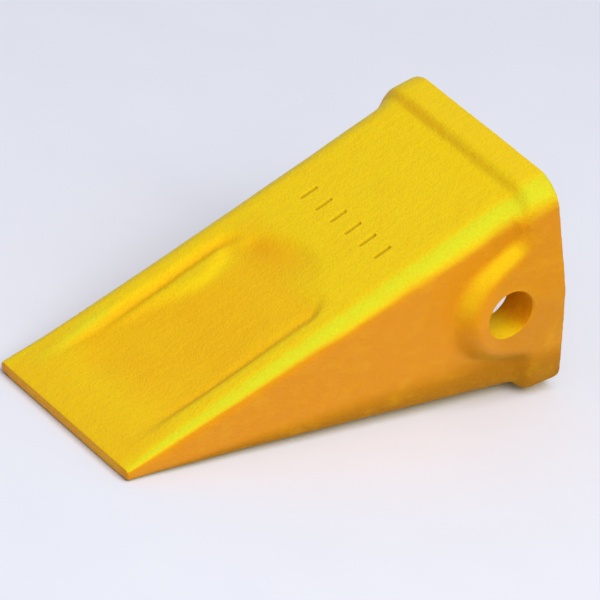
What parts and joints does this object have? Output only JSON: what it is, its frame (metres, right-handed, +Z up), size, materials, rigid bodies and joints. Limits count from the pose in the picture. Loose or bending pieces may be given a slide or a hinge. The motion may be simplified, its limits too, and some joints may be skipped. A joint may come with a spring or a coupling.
{
  "type": "excavator bucket tooth",
  "caption": "Hollow wedge-shaped cast steel digging tooth with side-pin bores, supplied with its grooved lock pin and split retainer ring.",
  "frame": {"origin": "middle of the pin axis, on the tooth's plane of symmetry, where the pin hole of the adapter's nose comes", "axes": "+X level, towards the cutting edge; +Y along the pin axis, towards the side whose bore is empty; +Z up, with the rear lip's lower edge and the cutting edge on one level surface, so the centreline dips 14 degrees towards the tip"},
  "size_m": [0.4126, 0.2366, 0.196],
  "materials": {
    "painted_casting": "satin yellow enamel over cast steel",
    "pin_steel": "oiled, heat treated",
    "spring_steel": "blued spring steel"
  },
  "bodies": {
    "casting": {"tooth_casting": "painted_casting"},
    "pin": {"lock_pin": "pin_steel"},
    "ring": {"retainer_ring": "spring_steel"}
  },
  "joints": [
    {"name": "pin_slide", "type": "slide", "parent": "casting", "child": "pin", "axis": [0, 1, 0], "range_m": [-0.084, 0.047]},
    {"name": "ring_turn", "type": "hinge", "parent": "pin", "child": "ring", "pos_m": [0, 0.017, 0], "axis": [0, 1, 0], "continuous": true}
  ]
}
